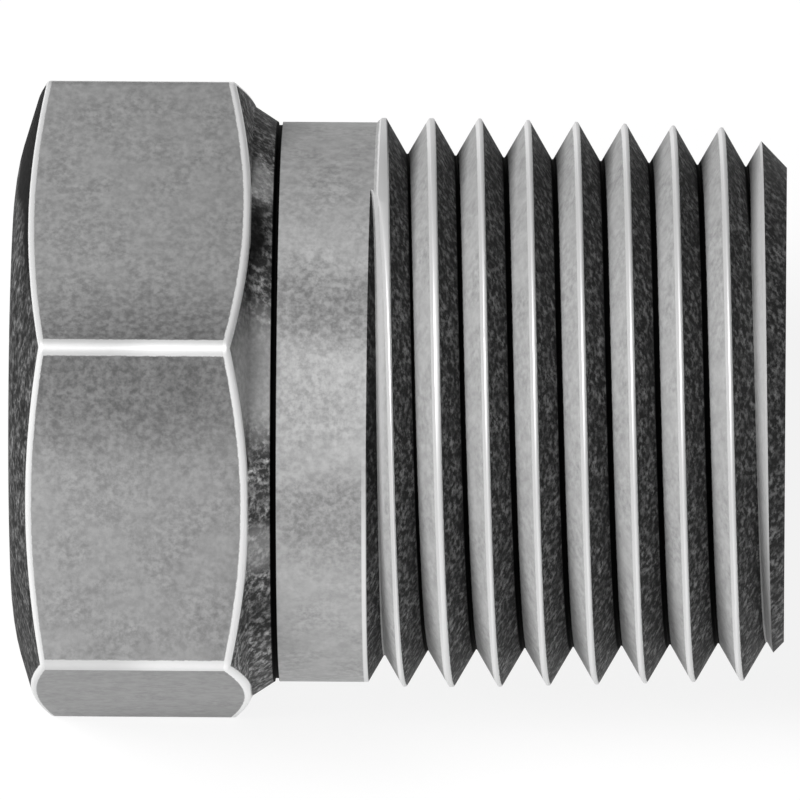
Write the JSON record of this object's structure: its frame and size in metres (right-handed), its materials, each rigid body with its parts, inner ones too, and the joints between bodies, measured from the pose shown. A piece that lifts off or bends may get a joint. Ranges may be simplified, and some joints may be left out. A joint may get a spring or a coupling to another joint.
{
  "type": "hex head plug",
  "caption": "Solid steel hex head plug with a chamfered head, a plain collar and a right-hand taper pipe thread, for closing a threaded port.",
  "frame": {"origin": "on the plug's axis at the shoulder, where the head's neck meets the plain collar", "axes": "+X along the axis from the head towards the thread's end, +Z square to the upper flat of the head; the plug lies on the opposite flat"},
  "size_m": [0.029, 0.0256, 0.0222],
  "materials": {
    "steel": "dull grey machined steel with a fine mottled grain and bright rubbed edges"
  },
  "bodies": {
    "root": {"hex_head_plug": "steel"}
  },
  "joints": []
}
